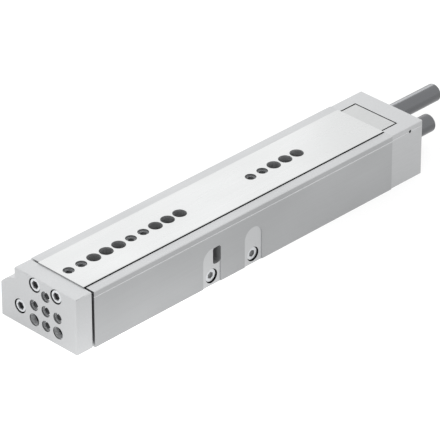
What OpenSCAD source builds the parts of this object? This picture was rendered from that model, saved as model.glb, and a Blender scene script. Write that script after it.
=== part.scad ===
// Pneumatic slide table: a double-acting cylinder and a ball-guided slide in one housing, with a
// yoke plate that joins the piston rod to the slide and one hydraulic shock absorber for each end
// of the stroke. Millimetres. +Z is up, +Y points to the rear, and the stroke runs towards -Y.
// The origin is on the base face, at the centre of the row of base screws.

/* [Stroke] */
// Working stroke of the slide
stroke = 150; // [120:5:150]
// Plunger stroke of each shock absorber
plunger_stroke = 7; // [5:1:8]

/* [Housing] */
// Width of the main block
block_w = 53.2; // [52:0.1:56]
// Height of the housing, yoke plate and rear cover
housing_h = 38; // [38:0.5:40]
// Length of the housing
housing_l = 252.4; // [252.4:0.1:254]
// How far the cylinder's flange stands out beyond the main block
flange_w = 12; // [11.5:0.1:14]
// Radius of the shoulder over the flange
shoulder_r = 20.2; // [20:0.1:21]
// Height of the centre of the shoulder's radius
shoulder_z = 10.6; // [10:0.1:11]
// Chamfer on the top edges
edge_chamfer = 0.4; // [0.2:0.1:1]
// Distance between base screws
base_pitch = 50; // [50:1:51]
// Housing front to the first base screw
base_inset = 35; // [33:1:36]
// Width of the trough that the absorber travels in
trough_w = 19.6; // [19:0.1:20]
// Height of the trough's floor
trough_z = 8.2; // [8:0.1:8.4]

/* [Ports] */
// Place of the front side port, from the origin
port_y = -14.5; // [-16:0.1:-14]
// Distance between the side ports
port_pitch = 35; // [34:0.1:36]
// Height of the side ports
port_z = 6.2; // [6:0.1:6.4]
// Width of the spot-faced recesses round the side ports
recess_w = 14.6; // [13:0.1:15]
// Depth of those recesses
recess_d = 0.5; // [0.4:0.1:1.2]
// Top of those recesses
recess_top = 25.2; // [25:0.1:26]

/* [Slide] */
// Width of the slide's top
slide_w = 38.6; // [38:0.1:39]
// Thickness of the slide
slide_t = 16; // [15:0.1:16]
// How far the slide stands above the housing
slide_proud = 0.8; // [0.4:0.1:1.2]
// Distance between neighbouring holes in the slide and the yoke plate
hole_pitch = 10; // [10:0.1:10.2]
// Front face of the yoke plate to the first hole in the slide
first_hole = 18.8; // [18.6:0.1:19]

/* [Yoke plate and rear cover] */
// Thickness of the yoke plate
yoke_t = 12.4; // [12:0.1:14]
// Gap between yoke plate and housing when the slide is home
yoke_gap = 1.4; // [1:0.1:2]
// Height of the yoke plate above the mounting surface
yoke_clear = 0.4; // [0.2:0.1:0.8]
// Radius on the yoke plate's front edges
yoke_round = 1; // [0.8:0.1:1.2]
// Length of the rear cover
cover_l = 27.6; // [27:0.1:29]

/* [Cylinder] */
// Cylinder bore
bore_d = 16; // [15.8:0.1:16]
// Piston rod
rod_d = 8; // [7:0.1:8]
// Sideways place of the cylinder's axis
cyl_x = -22; // [-22.4:0.1:-21.6]
// Height of the cylinder's axis
cyl_z = 13; // [12.8:0.1:13.2]

/* [Ball guide] */
// Ball diameter
ball_d = 4; // [3.6:0.1:4]
// Height of the balls' path
guide_z = 29.5; // [29.4:0.1:29.6]
// Balls on each side
ball_count = 15; // [9:1:15]
// Distance between neighbouring balls
ball_pitch = 6.2; // [5:0.1:6.2]

/* [Shock absorbers] */
// Outside diameter of both absorbers
absorber_d = 12; // [11.6:0.1:12]
// Rear end of the absorber for the return stroke
return_end = 235.5; // [230:0.5:240]
// Rear end of the absorber for the forward stroke
forward_end = 200; // [196:0.5:204]
// Sideways place of the forward absorber's axis
forward_x = 5.4; // [5:0.1:5.6]
// Height of the forward absorber's axis
forward_z = 16; // [15.8:0.1:16]
// Length of the forward absorber's tube
forward_l = 61.6; // [60:0.1:62]

/* [Hidden] */
$fn = 48;
e = 0.01;

// Screw sizes: [shank radius, head radius, head height, socket across flats, clearance radius]
m3 = [1.45, 2.75, 3, 2.5, 1.7];
m4 = [1.95, 3.5, 4, 3, 2.2];
m5 = [2.45, 4.25, 5, 4, 2.75];
thread_gap = 0.05;
head_edge = 0.35;
head_gap = 0.3;
head_sink = 0.4;
tap_m5_r = 2.1;
centring_r = 3.5;
centring_deep = 1.6;

// Stations along Y
housing_front = -1.5 * base_pitch - base_inset;
housing_rear = housing_front + housing_l;
cover_rear = housing_rear + cover_l;
yoke_rear = housing_front - yoke_gap;
yoke_front = yoke_rear - yoke_t;
slide_rear = housing_rear - 0.8;
hole_y0 = yoke_front + first_hole;

// Cross-section of housing and slide
half_w = block_w / 2;
flange_x = -half_w - flange_w;
// The yoke plate and the rear cover stand back a little from the housing's sides
end_half = half_w - 0.6;
channel_half = 19.9;
floor_z = 22.2;
slide_top = housing_h + slide_proud;
slide_under = slide_top - slide_t;
slide_edge = 0.3;
waist_half = 17.8;
flange_under = 34.4;
base_seat_z = 3;
base_seat_r = 4.75;

// Races and balls
ball_x = 18.6;
groove_r = ball_d / 2 + 0.06;
race_in = 19.4;
race_out = 23;
race_low = 25.6;
race_high = 33.4;
race_inset = 0.5;

// Sensor slots in the flange's face
slot_z = [6.5, 19.5];
slot_mouth = 2.8;
slot_r = 2.2;
slot_deep = 2.6;

// Shock absorbers
absorber_r = absorber_d / 2;
absorber_round = 1.2;
absorber_bore_r = 4.2;
absorber_end = 6;
cap_l = 4;
cap_r = 3;
cap_edge = 0.6;
cap_hold = 1.5;
plunger_r = 2;
gland_from = 6;
gland_l = 8;
damper_l = 6;
nut_af = 14;
nut_t = 5;
forward_front = forward_end - forward_l;
forward_tip = forward_front - plunger_stroke;

// Stop for the forward stroke, at the front of the trough
stop_gap = 0.1;
stop_face = forward_front - stroke - stop_gap;
stop_t = 8;
stop_grip = 8;
trough_front = stop_face - stop_t;
trough_x = forward_x - (trough_w - 9.2);

// Cylinder, from the front: rod guide, bumper, bore, and the cover's spigot in its rear end
bore_r = bore_d / 2;
rod_r = rod_d / 2;
rod_room = 0.6;
piston_l = 20;
spigot_l = 5;
spigot_front = housing_rear - spigot_l;
piston_rear = spigot_front - 3;
piston_front = piston_rear - piston_l;
bumper_t = 3;
bumper_gap = 1.4;
bore_front = piston_front - stroke - bumper_gap - bumper_t;
relief_r = bore_r + 1.4;
relief_l = 2.8;
supply_ys = [bore_front + 2, spigot_front - 1.4];
supply_thread_l = 5.6;
supply_feed_r = 1.2;
pocket_r = 7;
pocket_l = 18;
bearing_l = 9.6;
seal_l = 3.4;
wiper_l = 2.6;
circlip_t = 1;
circlip_from = 0.6;
circlip_w = 1.6;
circlip_groove_r = pocket_r + 0.6;
run_gap = 0.05;
stub_r = 3;
return_front = spigot_front + 0.1;
return_tip = piston_rear + stop_gap;

// Grooves of the piston: [front, rear, floor radius], measured from its front face
seal_grooves = [[1.8, 4.2, 5.4], [17, 19.2, 6.4]];
magnet_groove = [6, 10, 4.6];
ring_groove = [11.4, 14.6, 6.9];
piston_nut_seat = [6, 3.4];
piston_nut_af = 10;

// Side ports, their channels and the window at the forward stop
port_ys = [port_y, port_y + port_pitch];
channel_x = -13.6;
channel_z = 6.5;
channel_r = 1.6;
channel_plug_l = 5.7;
port_seat_x = half_w - 3.65;
port_seat_r = 4.75;
plug_head_r = 4.2;
plug_head_t = 1.7;
plug_thread_l = 5;
plug_socket = [4, 1.6];
seal_t = 0.5;
window_w = 6.1;
window_corner_r = 2;
window_y = port_y + 4.4;
window_low = 13.4;
window_top = 25.1;

// Rear cover and bracket
pocket_half = 17.8;
pocket_rear = housing_rear + 13.9;
nut_room_r = 9;
bracket_half = 16.8;
bracket_rear = pocket_rear - 1;
nut_room_rear = bracket_rear + nut_t + 1;
cover_screw_at = [[-31.5, 23], [-9.6, 13], [20.3, 7], [20.3, 19]];
cover_grip = 8;
cover_seal_at = [2.25, 0.5, 1.04];
nut_seal_w = 1.2;
// The drill line is a fine V groove along the right side, on which the pin's hole is centred
line_z = 34.2;
line_d = 0.35;
pin_at = [housing_rear + 16.7, line_z];
pin_r = 1;
pin_l = 5.4;

// Yoke plate, slide and the screws that hold them: places are [x, z]
yoke_seat_r = 4.7;
yoke_sink = 0.5;
yoke_grip = 12;
yoke_hole_z = 8.8;
lower_bore_r = 4;
yoke_screw_at = [[-9, 32.9], [9, 32.9]];
dowel_at = [[-14, 27], [14, 27]];
dowel_r = 2;
dowel_l = 11.6;
bracket_screw_at = [[-11.5, 31], [11.5, 31]];
bracket_grip = 9;
stop_screw_at = [[11, 11.9], [11, 18.6]];

// Holes of the slide, counted from the front: threaded with a centring seat, or plain for a driver
threaded_at = [0, 1, 5, 6, 15, 16];
access_at = [2, 3, 4, 7, 8, 9, 17, 18, 19];
access_r = 4.4;
thread_deep = 12;

// Cages, centred on the stretch that the slide still covers at full stroke
cage_end = 4.6;
cage_l = ball_pitch * (ball_count - 1) + 2 * cage_end;
cage_front = housing_front + 2.8 + stroke / 2;
cage_in = 18.1;
cage_out = 19.1;
cage_half = 3.6;

// ---- helpers ----

// A cylinder along +Y
module rod_y(r, y0, y1, x = 0, z = 0, fn = 48)
    translate([x, y0, z]) rotate([-90, 0, 0]) cylinder(r = r, h = y1 - y0, $fn = fn);

// A cylinder along +X
module rod_x(r, x0, x1, y, z)
    translate([x0, y, z]) rotate([0, 90, 0]) cylinder(r = r, h = x1 - x0);

// A box between two corners
module box(low, high) translate(low) cube(high - low);

// A flat outline drawn in X and Z, run from y0 to y1
module run_y(y0, y1) translate([0, y1, 0]) rotate([90, 0, 0]) linear_extrude(y1 - y0) children();

// A turned part along +Y: its outline is given as [radius, distance along the axis]
module turned_y(outline, y = 0, x = 0, z = 0)
    translate([x, y, z]) rotate([-90, 0, 0]) rotate_extrude() polygon(outline);

// A ring along +Y
module ring_y(r_in, r_out, y0, y1, x = 0, z = 0)
    turned_y([[r_in, 0], [r_out, 0], [r_out, y1 - y0], [r_in, y1 - y0]], y0, x, z);

// An O-ring round an axis along Y
module o_ring(r_mid, r_cord, y, x, z)
    translate([x, y, z]) rotate([-90, 0, 0]) rotate_extrude() translate([r_mid, 0]) circle(r_cord);

// A socket head cap screw with its head's top at the origin and its shank along +Z
module cap_screw(size, l) {
    difference() {
        rotate_extrude() polygon([
            [0, 0], [size[1] - head_edge, 0], [size[1], head_edge], [size[1], size[2]],
            [size[0], size[2]], [size[0], size[2] + l], [0, size[2] + l]]);
        translate([0, 0, -e]) cylinder(d = size[3] / cos(30), h = size[2] / 2 + e, $fn = 6);
    }
}

// The same screw driven towards +Y or towards -Y
module screw_rear(size, l, x, y, z) translate([x, y, z]) rotate([-90, 0, 0]) cap_screw(size, l);
module screw_front(size, l, x, y, z) translate([x, y, z]) rotate([90, 0, 0]) cap_screw(size, l);

// Room for a screw driven towards -Y, from y0 to a face at y1 that its head lies under
module screw_room(size, x, z, y0, y1) {
    rod_y(size[4], y0 - 1, y1 + 1, x, z);
    rod_y(size[1] + head_gap, y1 - size[2] - head_sink, y1 + 1, x, z);
}

// The plain bore that stands for a screw's thread in the piece it is driven into
module screw_bore(size, x, z, y0, y1) rod_y(size[0] + thread_gap, y0, y1, x, z);

// Main block and flange between two stations, without bores
module body_form(y0, y1, z0, half) {
    c = edge_chamfer;
    run_y(y0, y1) polygon([
        [half, z0], [half, housing_h - c], [half - c, housing_h],
        [c - half, housing_h], [-half, housing_h - c], [-half, z0]]);
    intersection() {
        rod_y(shoulder_r, y0, y1, cyl_x, shoulder_z, 96);
        box([flange_x, y0, z0], [cyl_x, y1, housing_h]);
    }
}

// The drill line along a right side at x
module drill_line(y0, y1, x) run_y(y0 - 1, y1 + 1) polygon([
    [x - line_d, line_z], [x + 1, line_z - line_d - 1], [x + 1, line_z + line_d + 1]]);

// A ball groove along the whole guide on one side
module groove(side) rod_y(groove_r, housing_front - 5, housing_rear + 5, side * ball_x, guide_z);

// ---- housing ----

module base_holes() {
    for (i = [0:3]) translate([0, (i - 1.5) * base_pitch, 0]) {
        translate([0, 0, -1]) cylinder(r = m5[4], h = base_seat_z + 2);
        translate([0, 0, base_seat_z]) cylinder(r = base_seat_r, h = floor_z);
    }
}

// Channel for the slide, pockets for the races and the trough under the slide
module guide_channel() {
    y0 = housing_front - 1;
    y1 = housing_rear + 1;
    box([-channel_half, y0, floor_z], [channel_half, y1, housing_h + 1]);
    for (s = [-1, 1]) box([min(s * channel_half, s * race_out) - e, y0, race_low],
                          [max(s * channel_half, s * race_out), y1, race_high]);
    box([trough_x, trough_front, trough_z], [trough_x + trough_w, y1, floor_z + 1]);
}

module cylinder_space() {
    rod_y(bore_r, bore_front, housing_rear + 1, cyl_x, cyl_z);
    rod_y(rod_r + rod_room, housing_front - 1, bore_front + 1, cyl_x, cyl_z);
    rod_y(pocket_r, housing_front - 1, housing_front + pocket_l, cyl_x, cyl_z);
    clip_y = housing_front + circlip_from;
    rod_y(circlip_groove_r, clip_y, clip_y + circlip_t, cyl_x, cyl_z);
    rod_y(relief_r, bore_front, bore_front + bumper_t + 0.8, cyl_x, cyl_z);
    rod_y(relief_r, spigot_front - relief_l, spigot_front, cyl_x, cyl_z);
}

module air_channels() {
    for (y = port_ys) {
        rod_x(port_seat_r, port_seat_x, half_w + 1, y, port_z);
        rod_x(m5[0] + thread_gap, port_seat_x - plug_thread_l - 1, port_seat_x + 1, y, port_z);
        rod_x(channel_r - 0.1, channel_x, port_seat_x, y, port_z);
    }
    rod_y(channel_r, housing_front - 1, port_ys[0], channel_x, channel_z);
    rod_y(channel_r, port_ys[1], housing_rear + 1, channel_x, channel_z);
    for (y = supply_ys) {
        rod_x(tap_m5_r, flange_x - 1, flange_x + supply_thread_l, y, cyl_z);
        rod_x(supply_feed_r, flange_x, cyl_x - bore_r + 1, y, cyl_z);
    }
}

// Spot-faced recess, round at the top and open at the base
module port_recess(y) {
    r = recess_w / 2;
    rod_x(r, half_w - recess_d, half_w + 1, y, recess_top - r);
    box([half_w - recess_d, y - r, -1], [half_w + 1, y + r, recess_top - r]);
}

module window() {
    r = window_corner_r;
    w = window_w / 2;
    x0 = trough_x + trough_w - 1;
    for (y = [window_y - w + r, window_y + w - r], z = [window_low + r, window_top - r])
        rod_x(r, x0, half_w + 1, y, z);
    box([x0, window_y - w + r, window_low], [half_w + 1, window_y + w - r, window_top]);
    box([x0, window_y - w, window_low + r], [half_w + 1, window_y + w, window_top - r]);
}

module sensor_slots() {
    for (z = slot_z) {
        rod_y(slot_r, housing_front - 1, housing_rear + 1, flange_x + slot_deep, z);
        box([flange_x - 1, housing_front - 1, z - slot_mouth / 2],
            [flange_x + slot_deep, housing_rear + 1, z + slot_mouth / 2]);
    }
}

module housing() color("gainsboro") difference() {
    body_form(housing_front, housing_rear, 0, half_w);
    drill_line(housing_front, housing_rear, half_w);
    guide_channel();
    cylinder_space();
    base_holes();
    air_channels();
    for (y = port_ys) port_recess(y);
    window();
    sensor_slots();
    for (p = cover_screw_at)
        screw_bore(m4, p[0], p[1], housing_rear - cover_grip - 2, housing_rear + 1);
    for (p = stop_screw_at)
        screw_bore(m3, p[0], p[1], trough_front - stop_grip - 1, trough_front + 1);
}

module race(side) color("silver") difference() {
    box([min(side * race_in, side * race_out), housing_front + race_inset, race_low],
        [max(side * race_in, side * race_out), housing_rear - race_inset, race_high]);
    groove(side);
}

module race_left() race(-1);
module race_right() race(1);

module channel_plugs() color("dimgray") {
    for (y = [housing_front + 0.3, housing_rear - 0.3 - channel_plug_l])
        rod_y(channel_r - 0.02, y, y + channel_plug_l, channel_x, channel_z);
}

module port_plugs() color("whitesmoke") for (y = port_ys)
    translate([port_seat_x + seal_t, y, port_z]) rotate([0, 90, 0]) difference() {
        union() {
            cylinder(r = plug_head_r, h = plug_head_t);
            translate([0, 0, -plug_thread_l]) cylinder(r = m5[0], h = plug_thread_l + e);
        }
        translate([0, 0, plug_head_t - plug_socket[1]])
            cylinder(d = plug_socket[0] / cos(30), h = plug_socket[1] + 1, $fn = 6);
    }

module port_plug_seals() color("black") for (y = port_ys)
    translate([port_seat_x, y, port_z]) rotate([0, 90, 0]) difference() {
        cylinder(r = plug_head_r - 0.1, h = seal_t);
        translate([0, 0, -1]) cylinder(r = m5[0] + 0.1, h = 3);
    }

// ---- rod guide at the front of the cylinder ----

module rod_bearing() color("goldenrod") {
    y1 = housing_front + pocket_l;
    ring_y(rod_r + run_gap, pocket_r, y1 - bearing_l, y1, cyl_x, cyl_z);
}

module rod_seal() color("darkslategray") {
    y1 = housing_front + pocket_l - bearing_l;
    inner = rod_r + run_gap;
    turned_y([[inner + 0.8, 0], [pocket_r, 0], [pocket_r, seal_l], [pocket_r - 0.8, seal_l],
        [inner + 1.2, 1.2], [inner + 0.6, seal_l], [inner, seal_l - 0.4], [inner + 0.4, 0.8]],
        y1 - seal_l, cyl_x, cyl_z);
}

module rod_wiper() color("darkslategray") {
    y0 = housing_front + circlip_from + circlip_t;
    inner = rod_r + run_gap;
    turned_y([[inner, 0], [inner + 0.7, 0], [inner + 1.1, 0.9], [pocket_r, 0.9],
        [pocket_r, wiper_l], [inner + 0.5, wiper_l]], y0, cyl_x, cyl_z);
}

module bearing_circlip() color("silver") difference() {
    y0 = housing_front + circlip_from;
    ring_y(pocket_r - circlip_w, circlip_groove_r - 0.05, y0, y0 + circlip_t, cyl_x, cyl_z);
    box([cyl_x - circlip_w, y0 - 1, cyl_z - pocket_r - 1], [cyl_x + circlip_w, y0 + 2, cyl_z]);
}

module front_bumper() color("darkolivegreen")
    ring_y(rod_r + 1.2, bore_r - 0.4, bore_front, bore_front + bumper_t, cyl_x, cyl_z);

// ---- rear cover ----

module rear_cover() color("gainsboro") difference() {
    union() {
        body_form(housing_rear, cover_rear, 0, end_half);
        rod_y(bore_r - 0.03, spigot_front, housing_rear + 1, cyl_x, cyl_z);
    }
    box([-pocket_half, housing_rear - 1, floor_z], [pocket_half, pocket_rear, housing_h + 1]);
    box([trough_x, housing_rear - 1, trough_z], [trough_x + trough_w, pocket_rear, floor_z + 1]);
    rod_y(nut_room_r, pocket_rear - 1, nut_room_rear, forward_x, forward_z);
    rod_y(absorber_r + 0.35, nut_room_rear - 1, cover_rear + 1, forward_x, forward_z);
    rod_y(absorber_r + thread_gap, spigot_front - 1, cover_rear + 1, cyl_x, cyl_z);
    rod_y(absorber_r + nut_seal_w, cover_rear - nut_seal_w, cover_rear + 1, cyl_x, cyl_z);
    seal_y = spigot_front + cover_seal_at[0];
    ring_y(bore_r - cover_seal_at[2], bore_r + 1, seal_y - 0.65, seal_y + 0.65, cyl_x, cyl_z);
    for (p = cover_screw_at) screw_room(m4, p[0], p[1], housing_rear, cover_rear);
    drill_line(housing_rear, cover_rear, end_half);
    rod_x(pin_r + thread_gap, end_half - pin_l - 0.6, half_w + 1, pin_at[0], pin_at[1]);
}

module cover_screws() color("silver") for (p = cover_screw_at)
    screw_front(m4, cover_l - m4[2] - head_sink + cover_grip, p[0], cover_rear - head_sink, p[1]);

module cover_pin() color("dimgray") difference() {
    rod_x(pin_r, end_half - pin_l - 0.5, end_half - 0.5, pin_at[0], pin_at[1]);
    rod_x(pin_r / 2, end_half - pin_l - 1, half_w + 1, pin_at[0], pin_at[1]);
}

module cover_seal() color("black")
    o_ring(bore_r - 0.52, cover_seal_at[1], spigot_front + cover_seal_at[0], cyl_x, cyl_z);

// ---- stop for the forward stroke ----

module forward_stop() color("darkgray") difference() {
    box([trough_x, trough_front, trough_z], [trough_x + trough_w, stop_face, floor_z - 0.4]);
    for (p = stop_screw_at) screw_room(m3, p[0], p[1], trough_front, stop_face);
}

module stop_screws() color("dimgray") for (p = stop_screw_at)
    screw_front(m3, stop_t - m3[2] - head_sink + stop_grip, p[0], stop_face - head_sink, p[1]);

// ---- shock absorbers, each with its plunger pushed in ----

// A closed tube with a rounded rear edge, open at the front
module absorber_tube(y0, y1, x, z) difference() {
    r = absorber_round;
    union() {
        rod_y(absorber_r, y0, y1 - r, x, z);
        translate([x, y1 - r, z]) rotate([-90, 0, 0]) rotate_extrude() union() {
            square([absorber_r - r, r]);
            translate([absorber_r - r, 0]) intersection() {
                circle(r);
                square(r);
            }
        }
    }
    rod_y(absorber_bore_r, y0 - 1, y1 - absorber_end, x, z);
}

module absorber_gland(y0, x, z)
    ring_y(plunger_r + run_gap, absorber_bore_r, y0 + gland_from, y0 + gland_from + gland_l, x, z);

module absorber_nut(y0, x, z) difference() {
    rod_y(nut_af / 2 / cos(30), y0, y0 + nut_t, x, z, 6);
    rod_y(absorber_r + thread_gap, y0 - 1, y0 + nut_t + 1, x, z);
}

// Polished rod with the damper's piston on its inner end; tip is where the cap ends
module absorber_plunger(tip, y0, x, z) {
    inner = y0 + gland_from + gland_l + plunger_stroke + 1;
    rod_y(plunger_r, tip + cap_l - cap_hold, inner + 1, x, z);
    rod_y(absorber_bore_r - 0.1, inner, inner + damper_l, x, z);
}

module absorber_cap(tip, x, z) difference() {
    turned_y([[0, 0], [cap_r - cap_edge, 0], [cap_r, cap_edge], [cap_r, cap_l], [0, cap_l]],
        tip, x, z);
    rod_y(plunger_r + e, tip + cap_l - cap_hold, tip + cap_l + 1, x, z);
}

module return_absorber_body() color("dimgray")
    absorber_tube(return_front, return_end, cyl_x, cyl_z);
module return_absorber_gland() color("darkgray") absorber_gland(return_front, cyl_x, cyl_z);
module return_absorber_nut() color("dimgray") absorber_nut(cover_rear, cyl_x, cyl_z);
module return_absorber_seal() color("black")
    o_ring(absorber_r + nut_seal_w / 2, 0.52, cover_rear - nut_seal_w / 2, cyl_x, cyl_z);
module return_absorber_plunger() color("silver")
    absorber_plunger(return_tip, return_front, cyl_x, cyl_z);
module return_absorber_cap() color("ivory") absorber_cap(return_tip, cyl_x, cyl_z);

module forward_absorber_body() color("dimgray")
    absorber_tube(forward_front, forward_end, forward_x, forward_z);
module forward_absorber_gland() color("darkgray")
    absorber_gland(forward_front, forward_x, forward_z);
module forward_absorber_nut() color("dimgray") absorber_nut(bracket_rear, forward_x, forward_z);
module forward_absorber_plunger() color("silver") translate([0, -plunger_stroke, 0])
    absorber_plunger(forward_front, forward_front, forward_x, forward_z);
module forward_absorber_cap() color("ivory") absorber_cap(forward_tip, forward_x, forward_z);

// ---- yoke plate and slide ----

// Plate with rounded front edges: the outline met by its plan and its side view
module yoke_form() {
    r = yoke_round;
    intersection() {
        body_form(yoke_front, yoke_rear, yoke_clear, end_half);
        union() {
            box([flange_x - 1, yoke_front + r, 0], [half_w + 1, yoke_rear + 1, housing_h + 1]);
            box([flange_x + r, yoke_front - 1, 0], [end_half - r, yoke_rear, housing_h + 1]);
            for (x = [flange_x + r, end_half - r])
                translate([x, yoke_front + r, 0]) cylinder(r = r, h = housing_h + 1);
        }
        union() {
            box([flange_x - 1, yoke_front + r, 0], [half_w + 1, yoke_rear + 1, housing_h + 1]);
            box([flange_x - 1, yoke_front - 1, 0], [half_w + 1, yoke_rear, housing_h - r]);
            rod_x(r, flange_x - 1, half_w + 1, yoke_front + r, housing_h - r);
        }
    }
}

module yoke_plate() color("gainsboro") difference() {
    yoke_form();
    for (p = concat(yoke_screw_at, [[cyl_x, cyl_z]])) {
        rod_y(yoke_seat_r, yoke_front - 1, yoke_front + m5[2] + yoke_sink, p[0], p[1]);
        rod_y(m5[4], yoke_front, yoke_rear + 1, p[0], p[1]);
    }
    for (p = [[0, 2], [-1, 1], [0, 1], [1, 1], [0, 0]]) {
        x = p[0] * hole_pitch;
        z = yoke_hole_z + p[1] * hole_pitch;
        rod_y(centring_r, yoke_front - 1, yoke_front + centring_deep, x, z);
        rod_y(tap_m5_r, yoke_front, yoke_rear + 1, x, z);
    }
    for (s = [-1, 1])
        rod_y(lower_bore_r, yoke_front - 1, yoke_rear + 1, s * hole_pitch, yoke_hole_z);
    for (p = dowel_at) rod_y(dowel_r + e, yoke_rear - dowel_l / 2 - 0.2, yoke_rear + 1, p[0], p[1]);
}

module slide() color("whitesmoke") difference() {
    half = slide_w / 2;
    run_y(yoke_rear, slide_rear) polygon([
        [waist_half, slide_under], [waist_half, flange_under], [half, flange_under],
        [half, slide_top - slide_edge], [half - slide_edge, slide_top],
        [slide_edge - half, slide_top], [-half, slide_top - slide_edge], [-half, flange_under],
        [-waist_half, flange_under], [-waist_half, slide_under]]);
    for (s = [-1, 1]) rod_y(groove_r, yoke_rear - 1, slide_rear + 1, s * ball_x, guide_z);
    for (i = threaded_at) translate([0, hole_y0 + i * hole_pitch, slide_top]) {
        translate([0, 0, -centring_deep]) cylinder(r = centring_r, h = 5);
        translate([0, 0, -thread_deep]) cylinder(r = tap_m5_r, h = thread_deep + 1);
    }
    for (i = access_at) translate([0, hole_y0 + i * hole_pitch, slide_under - 1])
        cylinder(r = access_r, h = slide_t + 2);
    for (p = yoke_screw_at) screw_bore(m5, p[0], p[1], yoke_rear - 1, yoke_rear + yoke_grip + 1);
    for (p = dowel_at) rod_y(dowel_r + e, yoke_rear - 1, yoke_rear + dowel_l / 2 + 0.2, p[0], p[1]);
    for (p = bracket_screw_at)
        screw_bore(m4, p[0], p[1], slide_rear - bracket_grip - 2, slide_rear + 1);
}

module yoke_dowels() color("silver")
    for (p = dowel_at) rod_y(dowel_r, yoke_rear - dowel_l / 2, yoke_rear + dowel_l / 2, p[0], p[1]);

module yoke_screw(x, z)
    screw_rear(m5, yoke_t - m5[2] - yoke_sink + yoke_grip, x, yoke_front + yoke_sink, z);

module slide_screws() color("whitesmoke") for (p = yoke_screw_at) yoke_screw(p[0], p[1]);

module rod_screw() color("whitesmoke") yoke_screw(cyl_x, cyl_z);

// ---- bracket that carries the forward absorber ----

module absorber_bracket() color("lightgray") difference() {
    union() {
        box([-bracket_half, slide_rear, slide_under], [bracket_half, bracket_rear, housing_h]);
        box([trough_x + 0.6, slide_rear, trough_z + 0.4],
            [trough_x + trough_w - 0.6, bracket_rear, slide_under + 1]);
    }
    rod_y(absorber_r + thread_gap, slide_rear - 1, bracket_rear + 1, forward_x, forward_z);
    for (p = bracket_screw_at) screw_room(m4, p[0], p[1], slide_rear, bracket_rear);
}

module bracket_screws() color("dimgray") for (p = bracket_screw_at)
    screw_front(m4, bracket_rear - slide_rear - m4[2] - head_sink + bracket_grip,
        p[0], bracket_rear - head_sink, p[1]);

// ---- piston and rod ----

module piston_rod() color("silver") difference() {
    union() {
        rod_y(rod_r, yoke_rear, piston_front, cyl_x, cyl_z);
        rod_y(stub_r, piston_front - 1, piston_rear, cyl_x, cyl_z);
    }
    screw_bore(m5, cyl_x, cyl_z, yoke_rear - 1, yoke_rear + yoke_grip + 2);
}

module piston() color("silver") difference() {
    ring_y(stub_r + thread_gap, bore_r - 0.08, piston_front, piston_rear, cyl_x, cyl_z);
    for (g = concat(seal_grooves, [magnet_groove, ring_groove]))
        ring_y(g[2], bore_r + 1, piston_front + g[0], piston_front + g[1], cyl_x, cyl_z);
    rod_y(piston_nut_seat[0], piston_rear - piston_nut_seat[1], piston_rear + 1, cyl_x, cyl_z);
}

module piston_seals() color("darkslategray") for (g = seal_grooves)
    ring_y(g[2], bore_r - 0.04, piston_front + g[0] + 0.1, piston_front + g[1] - 0.1, cyl_x, cyl_z);

module piston_magnet() color("dimgray") ring_y(magnet_groove[2], bore_r - 0.6,
    piston_front + magnet_groove[0], piston_front + magnet_groove[1], cyl_x, cyl_z);

module piston_guide_ring() color("ivory") ring_y(ring_groove[2], bore_r - 0.04,
    piston_front + ring_groove[0], piston_front + ring_groove[1], cyl_x, cyl_z);

module piston_nut() color("silver") difference() {
    rod_y(piston_nut_af / 2 / cos(30), piston_rear - piston_nut_seat[1], piston_rear - 0.4,
        cyl_x, cyl_z, 6);
    rod_y(stub_r + thread_gap, piston_rear - 5, piston_rear + 1, cyl_x, cyl_z);
}

// ---- ball cages ----

module at_balls() for (i = [0:ball_count - 1])
    translate([0, cage_front + cage_end + i * ball_pitch, guide_z]) children();

module cage(side) color("khaki") difference() {
    box([min(side * cage_in, side * cage_out), cage_front, guide_z - cage_half],
        [max(side * cage_in, side * cage_out), cage_front + cage_l, guide_z + cage_half]);
    at_balls() rotate([0, 90, 0]) translate([0, 0, side * ball_x - 2])
        cylinder(r = groove_r, h = 4);
}

module balls(side) color("silver") at_balls() translate([side * ball_x, 0, 0]) sphere(d = ball_d);

module cage_left() cage(-1);
module cage_right() cage(1);
module balls_left() balls(-1);
module balls_right() balls(1);

housing();
rear_cover();
cover_screws();
cover_pin();
cover_seal();
race_left();
race_right();
rod_bearing();
rod_seal();
rod_wiper();
bearing_circlip();
front_bumper();
channel_plugs();
port_plugs();
port_plug_seals();
forward_stop();
stop_screws();
return_absorber_body();
return_absorber_gland();
return_absorber_nut();
return_absorber_seal();
return_absorber_plunger();
return_absorber_cap();
yoke_plate();
slide();
yoke_dowels();
slide_screws();
rod_screw();
absorber_bracket();
bracket_screws();
piston_rod();
piston();
piston_seals();
piston_magnet();
piston_guide_ring();
piston_nut();
forward_absorber_body();
forward_absorber_gland();
forward_absorber_nut();
forward_absorber_plunger();
forward_absorber_cap();
cage_left();
cage_right();
balls_left();
balls_right();
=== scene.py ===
# %% [markdown]
# # A pneumatic slide table
#
# A slide table is a small linear drive. Compressed air pushes a piston, and the piston pulls a
# steel slide along a housing on two rows of balls. The imported model already holds every piece at
# its real size. This notebook gives each piece the finish that its workshop gave it, paints shade
# into threads, sockets, seats and gaps and highlights into a few seats, bores and grooves, softens
# the edges that were deburred, cuts the threads that the model leaves as plain bores, and builds a
# quiet studio around the result.

import math

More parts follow.
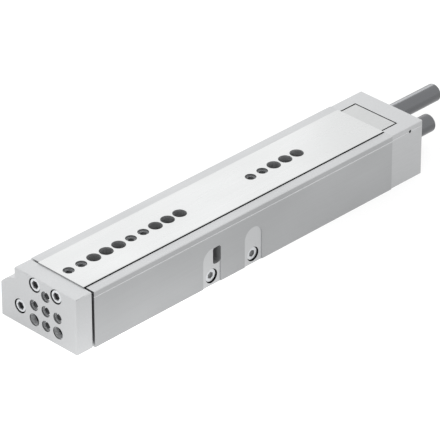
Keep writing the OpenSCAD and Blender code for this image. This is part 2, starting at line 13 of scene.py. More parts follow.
import bmesh
import bpy
from mathutils import Euler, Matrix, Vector


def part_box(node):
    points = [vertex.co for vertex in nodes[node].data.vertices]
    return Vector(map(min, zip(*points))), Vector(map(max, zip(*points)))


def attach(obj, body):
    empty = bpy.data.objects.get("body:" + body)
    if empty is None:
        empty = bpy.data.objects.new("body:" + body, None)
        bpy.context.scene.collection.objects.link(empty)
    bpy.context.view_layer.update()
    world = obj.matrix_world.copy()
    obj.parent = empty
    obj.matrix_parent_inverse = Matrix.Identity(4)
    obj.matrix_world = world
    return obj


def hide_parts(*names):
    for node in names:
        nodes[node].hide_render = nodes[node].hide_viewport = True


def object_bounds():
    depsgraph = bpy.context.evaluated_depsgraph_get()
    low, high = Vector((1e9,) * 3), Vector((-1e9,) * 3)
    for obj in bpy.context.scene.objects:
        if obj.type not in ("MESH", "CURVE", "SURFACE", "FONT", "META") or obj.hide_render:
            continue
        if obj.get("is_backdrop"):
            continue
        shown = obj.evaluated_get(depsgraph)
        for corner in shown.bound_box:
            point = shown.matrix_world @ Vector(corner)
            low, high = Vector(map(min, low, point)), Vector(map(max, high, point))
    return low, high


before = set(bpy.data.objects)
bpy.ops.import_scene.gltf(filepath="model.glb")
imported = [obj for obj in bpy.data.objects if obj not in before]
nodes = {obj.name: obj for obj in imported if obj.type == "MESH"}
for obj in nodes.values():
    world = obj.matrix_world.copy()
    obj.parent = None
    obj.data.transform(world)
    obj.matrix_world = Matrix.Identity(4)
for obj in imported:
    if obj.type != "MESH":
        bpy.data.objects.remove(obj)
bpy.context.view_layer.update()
MM = 0.001

# %% [markdown]
# ## Colours and shader nodes
#
# A swatch or a paint card gives colours as sRGB hex codes, but a shader adds and multiplies light,
# which only works on linear numbers. One function turns the first into the second. A second
# function adds a shader node: its properties first, then what goes into its sockets, which may be
# plain values or the output of another node. Everything below is written with these two.

# %% Two helpers
def linear(code):
    """An sRGB hex colour as linear red, green, blue and alpha."""
    channels = [int(code[i:i + 2], 16) / 255 for i in (1, 3, 5)]
    light = [c / 12.92 if c <= 0.04045 else ((c + 0.055) / 1.055) ** 2.4 for c in channels]
    return (*light, 1.0)


def add(tree, kind, settings, sockets):
    """Adds a node of that kind. A socket is given a value, or the output that it is linked to."""
    node = tree.nodes.new(kind)
    for name, value in settings.items():
        setattr(node, name, value)
    for name, value in sockets.items():
        if isinstance(value, bpy.types.NodeSocket):
            tree.links.new(value, node.inputs[name])
        else:
            node.inputs[name].default_value = value
    return node


print("anodised grey", [round(c, 3) for c in linear("#BFC0C1")])

# %% [markdown]
# ## How a machined surface catches light
#
# No machined surface is an even mirror. The tool leaves a grain: long lines from an extrusion die
# or a grinding wheel, rings from a lathe, fine pits from glass beads. A painted picture of the
# grain would blur in close views, so it is worked out in space: a noise field whose cells are as
# long, wide and high as the real marks, measured in millimetres. The same field drives a very
# shallow bump and a small change in roughness. A second, much larger field makes the tone drift a
# little from place to place, as it does on every real part.

# %% Grain and tone
def grain(tree, size_mm, detail=2.0):
    """A noise field with cells of that size along X, Y and Z, fixed to the piece."""
    place = add(tree, "ShaderNodeTexCoord", {}, {})
    cells = add(tree, "ShaderNodeMapping", {"vector_type": "POINT"},
                {"Vector": place.outputs["Object"], "Scale": [1 / (s * MM) for s in size_mm]})
    return add(tree, "ShaderNodeTexNoise", {},
               {"Vector": cells.outputs["Vector"], "Scale": 1.0, "Detail": detail}).outputs["Fac"]


def surface(name, colour, metallic, roughness, grain_mm, depth_um, drift=0.06,
            drift_mm=(35, 60, 35)):
    """A machined or moulded surface: its colour, its shine, its grain and how deep that is."""
    material = bpy.data.materials.new(name)
    material.use_nodes = True
    tree = material.node_tree
    shader = tree.nodes["Principled BSDF"]
    shader.inputs["Metallic"].default_value = metallic

    marks = grain(tree, grain_mm)
    tone = grain(tree, drift_mm, 1.0)
    shade = add(tree, "ShaderNodeMapRange", {},
                {"Value": tone, "From Min": 0.3, "From Max": 0.7,
                 "To Min": 1 - drift, "To Max": 1.0})
    tinted = add(tree, "ShaderNodeMix", {"data_type": "RGBA", "blend_type": "MULTIPLY"},
                 {"Factor": 1.0, "A": linear(colour), "B": shade.outputs["Result"]})
    tree.links.new(tinted.outputs["Result"], shader.inputs["Base Color"])

    shine = add(tree, "ShaderNodeMapRange", {},
                {"Value": marks, "From Min": 0.3, "From Max": 0.7,
                 "To Min": roughness * 0.88, "To Max": roughness * 1.12})
    tree.links.new(shine.outputs["Result"], shader.inputs["Roughness"])
    bump = add(tree, "ShaderNodeBump", {}, {"Height": marks, "Distance": depth_um * MM * MM})
    tree.links.new(bump.outputs["Normal"], shader.inputs["Normal"])
    return material


# %% [markdown]
# ## The finishes
#
# Each finish starts from what the real metal or plastic is. A metal keeps the shader's own index of
# refraction, because its colour already says how much light it throws back; a plastic is given its
# own. The grain sizes are true where they can be seen, and coarser where the real marks are finer
# than a picture of the whole unit can show.

# %% [markdown]
# ### Clear-anodised aluminium
#
# The housing is pressed through a die, so its faces carry faint lines along its whole length. Then
# it is etched and anodised, which leaves a dull silver skin with soft reflections. The yoke plate
# and the rear cover are milled from bar and blasted with glass beads before the same bath: their
# grain has no direction, and they come out a little lighter.

# %% Anodised aluminium
extruded = surface("anodised_extruded_aluminium", "#B2B3B4", 1.0, 0.42, (0.5, 60, 0.5), 6)
blasted = surface("anodised_blasted_aluminium", "#B7B8B9", 1.0, 0.48, (0.7, 0.7, 0.7), 5, 0.03)
milled = surface("milled_aluminium", "#B4B5B5", 1.0, 0.40, (0.6, 12, 0.6), 5, 0.03)
print("anodised:", extruded.name, blasted.name, milled.name)

# %% [markdown]
# ### Hardened steel
#
# The slide is the one large steel piece. After hardening it is ground, wheel strokes running along
# it, which gives a brighter and smoother face than the aluminium beside it. The ball races are
# ground finer still, and the balls are lapped to a mirror.

# %% Ground, lapped and chromed steel
ground = surface("ground_steel", "#BFC0C0", 1.0, 0.30, (0.5, 40, 0.5), 4)
race = surface("hardened_race_steel", "#AEB0B2", 1.0, 0.24, (0.4, 25, 0.4), 2)
lapped = surface("lapped_ball_steel", "#C6C8CA", 1.0, 0.10, (1.5, 1.5, 1.5), 0.5, 0.02)
chrome = surface("hard_chrome", "#D5D7DA", 1.0, 0.09, (0.4, 0.4, 12), 0.5, 0.02)
print("steel:", ground.name, race.name, lapped.name, chrome.name)

# %% [markdown]
# ### Screws and plugs, tubes and stops
#
# Screws and port plugs are zinc plated: a bright, slightly blue skin over a cold-headed surface.
# The absorbers' tubes are turned, polished and burnished dark. Screws that
# need no rust protection, the stop and the pins are only blackened in oil.

# %% Plated, burnished and blackened steel
plated = surface("zinc_plated_steel", "#C4C6C8", 1.0, 0.30, (0.6, 0.6, 0.6), 3, 0.03)
burnished = surface("burnished_steel", "#656668", 1.0, 0.24, (0.6, 0.6, 0.6), 1.5, 0.08)
blackened = surface("blackened_steel", "#47484A", 1.0, 0.38, (0.8, 0.8, 0.8), 4, 0.1)
print("fasteners:", plated.name, burnished.name, blackened.name)

# %% [markdown]
# ### Bearing metals and plastics
#
# The rod runs in sintered bronze, full of pores that hold oil, and the balls sit in drilled brass
# strips. Seals are moulded in nitrile rubber or polyurethane, the absorbers' caps are turned in
# acetal, and the magnet on the piston is ferrite powder in plastic.

# %% Bronze, brass, rubber and plastics
bronze = surface("sintered_bronze", "#B98C58", 1.0, 0.52, (0.5, 0.5, 0.5), 12, 0.1)
brass = surface("rolled_brass", "#C8AC68", 1.0, 0.30, (0.6, 18, 0.6), 3)
nitrile = surface("nitrile_rubber", "#1C1C1D", 0.0, 0.60, (0.5, 0.5, 0.5), 6)
polyurethane = surface("polyurethane", "#27423A", 0.0, 0.42, (1.2, 1.2, 1.2), 3)
acetal = surface("acetal_off_the_lathe", "#E6E3DA", 0.0, 0.38, (4, 0.5, 4), 4, 0.02)
ferrite = surface("bonded_ferrite", "#2C2D2F", 0.0, 0.50, (0.6, 0.6, 0.6), 8)
print("others:", *(m.name for m in (bronze, brass, nitrile, polyurethane, acetal, ferrite)))

# %% Which node has which finish
finishes = {
    extruded: ["housing"],
    blasted: ["rear_cover", "yoke_plate"],
    milled: ["absorber_bracket", "piston", "return_absorber_gland", "forward_absorber_gland"],
    ground: ["slide"],
    race: ["race_left", "race_right"],
    lapped: ["balls_left", "balls_right", "yoke_dowels"],
    chrome: ["piston_rod", "return_absorber_plunger", "forward_absorber_plunger"],
    plated: ["slide_screws", "rod_screw", "cover_screws", "port_plugs", "piston_nut"],
    burnished: ["return_absorber_body", "forward_absorber_body", "return_absorber_nut",
                "forward_absorber_nut"],
    blackened: ["forward_stop", "stop_screws", "bracket_screws", "channel_plugs", "cover_pin",
                "bearing_circlip"],
    bronze: ["rod_bearing"],
    brass: ["cage_left", "cage_right"],
    nitrile: ["cover_seal", "port_plug_seals", "return_absorber_seal"],
    polyurethane: ["rod_seal", "rod_wiper", "front_bumper", "piston_seals"],
    acetal: ["return_absorber_cap", "forward_absorber_cap", "piston_guide_ring"],
    ferrite: ["piston_magnet"],
}
for material, names in finishes.items():
    for name in names:
        nodes[name].material_slots[0].material = material
print(sum(map(len, finishes.values())), "nodes finished,", len(nodes), "to finish")

# %% [markdown]
# ## Working on a copy
#
# Some pieces carry detail that the imported model leaves out, because it would only slow down the
# motion checks: the turns of the M5 threads, painted shade in the sockets, seats and gaps, painted
# highlights, and a different finish in every cut. The imported mesh itself must stay as it is, so
# each of these pieces gets a dressed copy, which rides on the same body and replaces the node. The
# file format splits every corner and cuts every face into triangles, so the copy is mended first:
# corners that lie together are joined, and flat triangles melt into one face. After that a face is a
# real face again and can be picked by where it lies.

# %% Dressed copies
def dressed(name, body):
    """A mended copy of a node that stands in its place, open for editing."""
    piece = bpy.data.objects.new(name + "_dressed", nodes[name].data.copy())
    bpy.context.collection.objects.link(piece)
    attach(piece, body)
    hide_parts(name)
    work = bmesh.new()
    work.from_mesh(piece.data)
    bmesh.ops.remove_doubles(work, verts=work.verts, dist=0.002 * MM)
    bmesh.ops.dissolve_limit(work, angle_limit=math.radians(0.5), verts=work.verts,
                             edges=work.edges)
    return piece, work


copies = {name: dressed(name, body) for name, body, slot in (
    ("slide", "carriage", "ground_steel"),
    ("yoke_plate", "carriage", "anodised_aluminium"),
    ("housing", "housing", "anodised_aluminium"),
    ("rear_cover", "housing", "anodised_aluminium"),
    ("slide_screws", "carriage", "bright_zinc_steel"),
    ("rod_screw", "carriage", "bright_zinc_steel"),
    ("port_plugs", "housing", "bright_zinc_steel"))}
for name, (piece, work) in copies.items():
    print(name, len(work.verts), "corners,", len(work.faces), "faces")

# %% [markdown]
# ## Picking faces by where they lie
#
# Every bore is a ring of faces round a line. Two measures are enough to find it: how far a corner
# lies from that line, and where along the line it is.

# %% Face pickers
def off_axis(point, centre, axis):
    """How far a point lies from a line through centre along that axis, 0, 1 or 2."""
    away = point - centre
    away[axis] = 0
    return away.length


def bore_wall(work, centre_mm, axis, radius_mm, reach_mm):
    """A bore's wall: faces along the axis with all corners on the cylinder, near the centre."""
    centre = Vector(centre_mm) * MM
    return [f for f in work.faces
            if abs(f.normal[axis]) < 0.5
            and all(abs(off_axis(v.co, centre, axis) - radius_mm * MM) < 0.03 * MM
                    and abs(v.co[axis] - centre[axis]) < reach_mm * MM for v in f.verts)]


def socket_walls(work, centre_mm, axis, flats_mm):
    """Walls and floor of a hexagon socket: all their corners lie inside the hexagon's circle."""
    centre, corner = Vector(centre_mm) * MM, flats_mm * MM / math.sqrt(3)
    return [f for f in work.faces
            if all(off_axis(v.co, centre, axis) < corner * 1.02 for v in f.verts)]


# %% [markdown]
# ## Cutting the M5 threads
#
# The model stops at the tapping drill: a plain bore of 4.2 mm. A tap then cuts a groove of 0.8 mm
# pitch outwards from that wall. The groove could be a boolean with a coiled cutter, but booleans on
# coils are slow and leave slivers. It is cleaner to take the bore's wall away and build it again as
# a lattice: rings of corners down the bore, each corner pushed out by the thread's profile at its
# own angle. The push fades out at both ends, so the lattice closes on the rings that are there.

# %% Thread lattice
pitch_mm, groove_mm, rings_a_turn = 0.8, 0.38, 6


def thread_profile(turns):
    """Depth of the groove, 0 to 1, after that many turns: a crest, two flanks and a narrow root."""
    return max(0.0, min(1.0, 1.25 - abs(turns % 1 - 0.5) * 3.4))


def tap(work, centre_mm, axis, reach_mm, radius_mm=2.1):
    """Builds the wall of a bore again with a thread in it, and returns the new faces."""
    centre = Vector(centre_mm) * MM
    wall = bore_wall(work, centre_mm, axis, radius_mm, reach_mm)
    corners = {v for f in wall for v in f.verts}
    across, up = [k for k in range(3) if k != axis]

    def angle(v):
        return math.atan2(v.co[up] - centre[up], v.co[across] - centre[across])

    ends = [f(v.co[axis] for v in corners) for f in (min, max)]
    rims = [sorted((v for v in corners if abs(v.co[axis] - end) < 0.01 * MM), key=angle,
                   reverse=axis != 1)
            for end in ends]
    assert len(rims[0]) == len(rims[1]) == len(wall), (centre_mm, len(wall))
    spots = [(angle(v), v.co.copy()) for v in rims[0]]
    bmesh.ops.delete(work, geom=wall, context="FACES")
    count = round((ends[1] - ends[0]) / MM / pitch_mm * rings_a_turn)
    rings = [rims[0]]
    for i in range(1, count):
        fade = min(1.0, i / rings_a_turn, (count - i) / rings_a_turn)
        ring = []
        for turn, spot in spots:
            deep = groove_mm * fade * thread_profile(i / rings_a_turn + turn / math.tau)
            corner = spot + (spot - centre) * (deep / radius_mm)
            corner[axis] = ends[0] + (ends[1] - ends[0]) * i / count
            ring.append(work.verts.new(corner))
        rings.append(ring)
    rings.append(rims[1])
    return [work.faces.new((lower[k - 1], lower[k], upper[k], upper[k - 1]))
            for lower, upper in zip(rings, rings[1:]) for k in range(len(lower))]


tapped_bores = {
    "slide": [(0, -105 + 10 * i, 37.2) for i in (0, 1, 5, 6, 15, 16)],
    "yoke_plate": [(0, -122.2, 28.8), (-10, -122.2, 18.8), (0, -122.2, 18.8), (10, -122.2, 18.8),
                   (0, -122.2, 8.8)],
    "housing": [(-38.6, -38, 13), (-38.6, 136, 13)],
}
ways = {"slide": (2, 14), "yoke_plate": (1, 14), "housing": (0, 6)}
threads = {name: [f for spot in spots for f in tap(copies[name][1], spot, *ways[name])]
           for name, spots in tapped_bores.items()}
for name, faces in threads.items():
    print(name, len(faces), "thread faces")

# %% [markdown]
# ## Cut finishes, painted shade and painted highlights
#
# A piece is not one finish all over. Taps and drills cut after the outside was ground or anodised,
# and a drilled wall is dull. Most of the colours here are painted light, though: dark colours stand
# in for the shade in threads, sockets, seats and gaps, and bright ones for glints and highlight
# lines. Each of these colours gets a slot of its own on the copy, and the cells below pick where it
# goes.

# %% Cut finishes and painted light
# painted shade: a dark colour on the threads stands in for the shade inside the tapped holes
shaded_thread = surface("shaded_thread_metal", "#5A5B5C", 1.0, 0.42, (0.5, 0.5, 0.5), 3, 0.1)
# painted shade: dark colour for the shade in the screw-head seats and the cover's pocket
gap_shade = surface("gap_shade_metal", "#6C6D6E", 1.0, 0.45, (0.3, 0.3, 4), 3, 0.08)
# painted shade: dark colour for the shade on the walls of the thread seats and plain bores
hole_shade = surface("hole_shade_metal", "#767778", 1.0, 0.45, (0.3, 0.3, 4), 3, 0.08)
# painted glint: bright colour on the seat floors and the start of each thread
hole_glint = surface("hole_glint_metal", "#D6D7D8", 1.0, 0.20, (0.5, 0.5, 0.5), 3, 0.04)
drilled = surface("drilled_metal", "#A5A6A7", 1.0, 0.75, (2, 2, 0.4), 8, 0.1)
# painted highlight: pale colour for the bright band in the middle of a plain bore
bore_highlight = surface("bore_highlight_aluminium", "#DDDEDF", 1.0, 0.7, (0.6, 0.6, 0.6), 6, 0.05)
# painted shade: the housing's long side is darker than its rims; the brushed grain is real
brushed_side_shade = surface("brushed_side_shade_aluminium", "#A5A6A7", 1.0, 0.42, (0.6, 45, 0.35), 7, 0.08)
spotfaced = surface("milled_recess_aluminium", "#B7B8B9", 1.0, 0.38, (0.8, 0.5, 12), 4, 0.03)
# painted shade: the cover's side is a little darker than the rest of the cover; the grain is real
milled_side_shade = surface("milled_side_shade_aluminium", "#B4B5B6", 1.0, 0.45, (0.6, 12, 0.6), 6, 0.06)
# painted highlight: bright colour for the line along the groove on the side
groove_highlight = surface("groove_highlight_aluminium", "#BDBEBF", 1.0, 0.5, (0.3, 6, 0.3), 3, 0.03)
# painted shade: dark colour for the shade in the sockets and round the screw heads
socket_shade = surface("socket_shade_steel", "#747577", 1.0, 0.6, (0.5, 0.5, 0.5), 3, 0.1)
# painted shade: very dark colour for the narrow gaps at the slide's flanks, the port plugs and seats
deep_gap_shade = surface("deep_gap_shade_steel", "#3A3B3D", 1.0, 0.5, (0.6, 20, 0.6), 5, 0.1)
# the cut finishes and the painted shade and highlight colours, each on a slot of the copies
cuts_and_painted_light = [shaded_thread, gap_shade, hole_shade, hole_glint, drilled, bore_highlight, brushed_side_shade, spotfaced, milled_side_shade, groove_highlight, socket_shade,
        deep_gap_shade]
skins = {name: nodes[name].material_slots[0].material for name in copies}
for name, (piece, work) in copies.items():
    piece.data.materials.clear()
    for material in [skins[name]] + cuts_and_painted_light:
        piece.data.materials.append(material)


def give(faces, finish):
    """Puts faces on the slot of one of the cut finishes or painted-light colours."""
    for f in faces:
        f.material_index = 1 + cuts_and_painted_light.index(finish)
    return len(faces)


def middle_mm(face):
    """The middle of a face in millimetres."""
    return face.calc_center_median() / MM


print(len(cuts_and_painted_light), "cuts on", len(copies), "copies")

# %% [markdown]
# ### Threads and their centring seats
#
# On the slide and the yoke plate an M5 thread starts at the floor of a shallow 7 mm seat, which
# centres whatever is screwed on. The thread and the wall of the seat are given dark colours: painted
# shade inside the hole. The floor of the seat and the very start of the thread are given a bright
# colour: a painted glint, so each dark hole has a small glint beside it.

# %% Painted shade and glints in the threads
seat_radius_mm, lead_in_mm = 3.5, 0.5
for name, faces in threads.items():
    work, axis = copies[name][1], ways[name][0]
    # painted shade on the threads and seat walls, painted glint on the seat floors and thread starts
    give(faces, shaded_thread)
    start_mm = tapped_bores[name][0][axis]
    give([f for f in faces if abs(middle_mm(f)[axis] - start_mm) < lead_in_mm], hole_glint)
    floors = 0
    for spot in tapped_bores[name]:
        give(bore_wall(work, spot, axis, seat_radius_mm, 3), hole_shade)
        centre = Vector(spot) * MM
        floors += give([f for f in work.faces if abs(f.normal[axis]) > 0.99
                        and all(off_axis(v.co, centre, axis) < (seat_radius_mm + 0.05) * MM
                                and abs(v.co[axis] - centre[axis]) < 0.1 * MM for v in f.verts)],
                       hole_glint)
    print(name, floors, "seat floors")

# %% [markdown]
# ### Sockets, their mouths, and plain bores
#
# The mouth of a hexagon socket is countersunk so that the key finds its way in, which makes the
# socket look wider than the key. A bevel of the hexagon's rim cuts that countersink. The socket, its
# mouth, the side of the head and the wall of the seat round it are given dark colours: painted shade,
# which draws every screw with dark lines. A plain bore is given a dark colour at its mouth and its
# bottom, painted shade, and a pale one in the middle, a painted highlight, so the bore's wall is cut
# across by two planes and the band between them is picked.

# %% Access holes and screw heads
access_mm = [-105 + 10 * i for i in (2, 3, 4, 7, 8, 9, 17, 18, 19)]
access_radius_mm = 4.4
walls = sum(give(bore_wall(copies["slide"][1], (0, y, 30), 2, access_radius_mm, 20), drilled)
            for y in access_mm)
print("access holes:", walls, "faces")

screw_heads = {"slide_screws": [(-9, -120, 32.9), (9, -120, 32.9)], "rod_screw": [(-22, -120, 13)]}
key_mm, head_radius_mm, head_seat_radius_mm, countersink_mm = 4, 4.25, 4.7, 0.45
for name, heads in screw_heads.items():
    work = copies[name][1]
    for head in heads:
        hexagon = socket_walls(work, head, 1, key_mm)
        rim = dict.fromkeys(e for f in hexagon for e in f.edges
                            if any(g not in hexagon for g in e.link_faces))
        mouth = bmesh.ops.bevel(work, geom=list(rim), offset=countersink_mm * MM, segments=1,
                                profile=0.5, affect="EDGES")["faces"]
        # painted shade: the socket, its mouth, the side of the head and the seat wall round it
        dark = give(socket_walls(work, head, 1, key_mm), socket_shade) + give(mouth, socket_shade)
        dark += give(bore_wall(work, head, 1, head_radius_mm, 8), socket_shade)
        dark += give(bore_wall(copies["yoke_plate"][1], head, 1, head_seat_radius_mm, 8), gap_shade)
        print(name, head, dark, "dark faces")

# %% Port plugs
plug_radius_mm, port_radius_mm = 4.2, 4.75
for y in (-14.5, 20.5):
    plug = (24, y, 6.2)
    dark = give(socket_walls(copies["port_plugs"][1], plug, 0, key_mm), drilled)
    # painted shade: the plug's side and the wall of the port round it
    dark += give(bore_wall(copies["port_plugs"][1], plug, 0, plug_radius_mm, 3), deep_gap_shade)
    dark += give(bore_wall(copies["housing"][1], plug, 0, port_radius_mm, 4), deep_gap_shade)
    print("port plug", y, dark, "dark faces")

# %% Plain bores
work = copies["yoke_plate"][1]
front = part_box("yoke_plate")[0][1]
plain_radius_mm, band_mm = 4.0, (0.8, 4.4)
for x in (-10, 10):
    bore = (x, -120, 8.8)
    for depth_mm in band_mm:
        wall = bore_wall(work, bore, 1, plain_radius_mm, 20)
        parts = wall + list(dict.fromkeys(e for f in wall for e in f.edges))
        parts += list(dict.fromkeys(v for f in wall for v in f.verts))
        bmesh.ops.bisect_plane(work, geom=parts, dist=0.001 * MM, plane_no=(0, 1, 0),
                               plane_co=(0, front + depth_mm * MM, 0))
    wall = bore_wall(work, bore, 1, plain_radius_mm, 20)
    band = [f for f in wall if band_mm[0] < middle_mm(f).y - front / MM < band_mm[1]]
    # painted shade on the mouth and bottom of the bore, painted highlight on the band between
    print("plain bore", give(wall, hole_shade), "faces,", give(band, bore_highlight), "of them bright")

# %% [markdown]
# ### Sides, recesses and gaps
#
# The long side of the housing is brushed along its length, and it is given a darker colour than the
# rims: the grain is real, the darker colour is painted shade on that side. The recesses round the
# side ports are milled last and stay brighter than the side. The slanted faces of the fine groove
# along the side are given a brighter colour, a painted highlight line. The cover's side is milled
# across and given a slightly darker colour, painted shade. The slide's flanks, the floors of the plug
# seats and the walls of the cover's pocket for the bracket are given dark colours: painted shade in
# the gaps, which keeps the gaps dark.

# %% Finishes of the sides, with painted shade and a painted highlight
groove_z_mm, recess_x_mm, plug_seat_x_mm = 34.2, 26.1, 22.95
for name in ("housing", "rear_cover"):
    # painted highlight: the slanted faces of the groove get a brighter colour
    flank = [f for f in copies[name][1].faces if 0.5 < abs(f.normal.x) < 0.9
             and abs(middle_mm(f).z - groove_z_mm) < 0.4 and middle_mm(f).x > 25]
    print(name, give(flank, groove_highlight), "groove faces")

work = copies["housing"][1]
for f in work.faces:
    x = middle_mm(f).x
    # painted shade on the long side and the plug seat floors; the recess floors stay brighter than
    # the side
    if f.normal.x > 0.99 and x > 26.5:
        give([f], brushed_side_shade)
    elif f.normal.x > 0.99 and abs(x - recess_x_mm) < 0.05:
        give([f], spotfaced)
    elif f.normal.x > 0.99 and abs(x - plug_seat_x_mm) < 0.05:
        give([f], deep_gap_shade)
window_low_mm, window_high_mm = (14, -13.6, 13), (27, -6.6, 25.5)
walls = [f for f in work.faces if abs(f.normal.x) < 0.3
         and all(window_low_mm[k] < middle_mm(f)[k] < window_high_mm[k] for k in range(3))]
print(give(walls, drilled), "window walls")

# %% Painted shade in the gaps
work = copies["rear_cover"][1]
low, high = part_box("rear_cover")
pocket_half_mm, pocket_rear_mm = 17.8, low[1] / MM + 13.9
side, pocket = [], []
for f in work.faces:
    x, y, z = middle_mm(f)
    faces_inwards = f.normal.x * x < -17.5 and abs(abs(x) - pocket_half_mm) < 0.05
    if f.normal.x > 0.99 and x > high[0] / MM - 0.8:
        side.append(f)
    elif z > 20 and (faces_inwards or f.normal.y < -0.99 and abs(y - pocket_rear_mm) < 0.05):
        pocket.append(f)
# painted shade: a slightly darker colour on the cover's side, a dark one on the pocket walls
print("rear cover:", give(side, milled_side_shade), "side faces,", give(pocket, gap_shade), "pocket walls")
# painted shade: a very dark colour on the slide's flanks in the gap beside the housing
flanks = [f for f in copies["slide"][1].faces
          if abs(f.normal.x) > 0.99 and abs(middle_mm(f).x) > 19]
print(give(flanks, deep_gap_shade), "flanks of the slide")

# %% [markdown]
# ## Deburred edges
#
# A sharp edge on a drawing is never sharp in the workshop: it is broken with a file, tumbled, or
# cut with a small chamfer, and that narrow band is what draws the bright line round a metal part.
# On the copies a weight marks every edge that turns by more than 30 degrees, except in the threads,
# and a Bevel modifier rounds the marked edges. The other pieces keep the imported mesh, so Weld and a
# planar Decimate mend it there first, and the bevel goes by angle. Faces are shaded smooth, with
# the edges between them kept sharp.

# %% Break the edges of the copies
def bevel_on(piece, width_mm, limit):
    """A Bevel modifier that rounds edges by that width."""
    bevel = piece.modifiers.new("broken_edges", "BEVEL")
    bevel.width = width_mm * MM
    bevel.segments = 2
    bevel.limit_method = limit
    bevel.angle_limit = math.radians(30)
    bevel.miter_outer = "MITER_ARC"
    bevel.loop_slide = False
    bevel.use_clamp_overlap = False
    bevel.harden_normals = True


def close_copy(name, width_mm):
    """Marks the real edges, hands the work back to the copy and rounds the marked edges."""
    piece, work = copies[name]
    weight = work.edges.layers.float.new("bevel_weight_edge")
    inside = {e for f in threads.get(name, []) for e in f.edges}
    marked = 0
    for edge in work.edges:
        if len(edge.link_faces) != 2:
            continue
        fold = edge.calc_face_angle()
        edge.smooth = fold < math.radians(35)
        if fold > math.radians(30) and edge not in inside:
            edge[weight] = 1.0
            marked += 1
    for f in work.faces:
        f.smooth = True
    work.normal_update()
    work.to_mesh(piece.data)
    work.free()
    bevel_on(piece, width_mm, "WEIGHT")
    print(name, marked, "edges broken by", width_mm, "mm")


for name, width in (("slide", 0.08), ("yoke_plate", 0.18), ("housing", 0.1), ("rear_cover", 0.1),
                    ("slide_screws", 0.12), ("rod_screw", 0.12), ("port_plugs", 0.12)):
    close_copy(name, width)


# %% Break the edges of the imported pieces
def soften(name, width_mm):
    """Rounds a node's sharp edges by that much with modifiers."""
    piece = nodes[name]
    weld = piece.modifiers.new("weld", "WELD")
    weld.merge_threshold = 0.001 * MM
    melt = piece.modifiers.new("melt", "DECIMATE")
    melt.decimate_type = "DISSOLVE"
    melt.angle_limit = math.radians(0.5)
    bevel_on(piece, width_mm, "ANGLE")


edges_mm = {0.4: ["return_absorber_body", "forward_absorber_body"],
            0.2: ["return_absorber_nut", "forward_absorber_nut"],
            0.12: ["cover_screws", "bracket_screws"],
            0.08: ["absorber_bracket"]}
for width, names in edges_mm.items():
    for name in names:
        soften(name, width)
print("softened:", sum(map(len, edges_mm.values())), "packed pieces")

# %% [markdown]
# ## The studio
#
# Metal shows what stands round it, so the picture of a metal part is mostly one of its studio. A
# light tent gives calm, even reflections: white cloth on all sides, here an even white sky. The
# unit lies on a sheet of opal acrylic with lamps under it. Such a light table takes the shadow away
# and throws light up into the undersides. It glows all over, and more over its two nearest lamps:
# a round one in front of the unit and a long one along its right side.

# %% Light table
reach = 6.0
table = bpy.data.meshes.new("light_table")
corners = [(x, y, 0.0) for x in (-reach, reach) for y in (-reach, reach)]
table.from_pydata(corners, [], [(0, 1, 3, 2)])
floor = bpy.data.objects.new("light_table", table)
bpy.context.collection.objects.link(floor)
floor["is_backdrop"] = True

opal = surface("opal_acrylic", "#808080", 0.0, 0.7, (2, 2, 2), 0.5, 0.01, (400, 400, 400))
tree = opal.node_tree
place = add(tree, "ShaderNodeTexCoord", {}, {})
glow = 0.75
for lamp_mm, spread_mm, strength in (((-70, -190), (110, 90), 0.35), ((30, -100), (28, 110), 0.45)):
    from_lamp = add(tree, "ShaderNodeMapping", {"vector_type": "POINT"},
                    {"Vector": place.outputs["Object"],
                     "Location": (*(-c / s for c, s in zip(lamp_mm, spread_mm)), 0),
                     "Scale": (*(1 / (s * MM) for s in spread_mm), 0)})
    squared = add(tree, "ShaderNodeVectorMath", {"operation": "DOT_PRODUCT"},
                  {0: from_lamp.outputs["Vector"], 1: from_lamp.outputs["Vector"]})
    falls = add(tree, "ShaderNodeMath", {"operation": "MULTIPLY"},
                {0: squared.outputs["Value"], 1: -1.0})
    bell = add(tree, "ShaderNodeMath", {"operation": "EXPONENT"}, {0: falls.outputs["Value"]})
    glow = add(tree, "ShaderNodeMath", {"operation": "MULTIPLY_ADD"},
               {0: bell.outputs["Value"], 1: strength, 2: glow}).outputs["Value"]
shader = tree.nodes["Principled BSDF"]
shader.inputs["Emission Color"].default_value = (1, 1, 1, 1)
tree.links.new(glow, shader.inputs["Emission Strength"])
table.materials.append(opal)
print("light table of", 2 * reach, "m")

# %% [markdown]
# Soft boxes give the tent a direction. A small one hangs close behind the unit on the left,
# where the upper faces mirror it, so they grow brighter towards it. A wide one stands on the left.

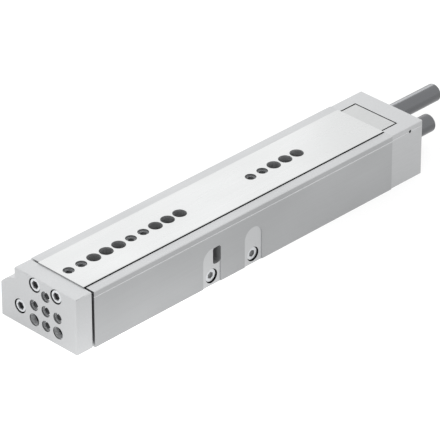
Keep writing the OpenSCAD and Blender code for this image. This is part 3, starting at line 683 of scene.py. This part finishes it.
# %% Tent and soft boxes
world = bpy.data.worlds.new("light_tent")
bpy.context.scene.world = world
world.use_nodes = True
sky = world.node_tree.nodes["Background"]
sky.inputs["Color"].default_value = linear("#FFFFFF")
sky.inputs["Strength"].default_value = 1.4


def softbox(name, azimuth, elevation, distance, size, power):
    """A square area light that looks at the unit from that bearing and height."""
    lamp = bpy.data.lights.new(name, "AREA")
    lamp.size = size
    lamp.energy = power
    holder = bpy.data.objects.new(name, lamp)
    a, e = math.radians(azimuth), math.radians(elevation)
    direction = Vector((math.sin(a) * math.cos(e), -math.cos(a) * math.cos(e), math.sin(e)))
    holder.location = direction * distance
    holder.rotation_euler = direction.to_track_quat("Z", "Y").to_euler()
    bpy.context.collection.objects.link(holder)
    return holder


softbox("near_box", -128, 33, 0.6, 0.3, 0.1)
softbox("left_box", -90, 20, 1.5, 1.25, 3.0)

# %% [markdown]
# The long absorber tube is dark and nearly polished. Such a tube only reads as round when it
# mirrors a bright panel next to something darker, so a third box is linked to that tube alone: it
# draws the long streak on it and leaves the rest of the unit as it is.

# %% A panel for the tube
tubes = bpy.data.collections.new("lit_by_tube_box")
tubes.objects.link(nodes["return_absorber_body"])
tube_box = softbox("tube_box", -134, 27, 1.5, 0.7, 3.2)
tube_box.light_linking.receiver_collection = tubes

# %% Camera
camera_data = bpy.data.cameras.new("camera")
camera_data.lens = 304.98
camera_data.clip_end = 30
camera = bpy.data.objects.new("camera", camera_data)
azimuth, elevation, roll = (math.radians(x) for x in (44.92, 31.17, -0.075))
aim = Vector((-0.00253, 0.02142, 0.01737))
back = Vector((math.sin(azimuth) * math.cos(elevation), -math.cos(azimuth) * math.cos(elevation),
               math.sin(elevation)))
camera.location = aim + back * 2.2424
camera.rotation_euler = Euler((math.pi / 2 - elevation, 0, azimuth))
camera.rotation_euler.rotate_axis("Z", roll)
bpy.context.collection.objects.link(camera)
bpy.context.scene.camera = camera
bpy.context.scene.view_settings.view_transform = "Standard"
print("camera at", [round(x, 3) for x in camera.location])

# %% Sizes and the end
low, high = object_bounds()
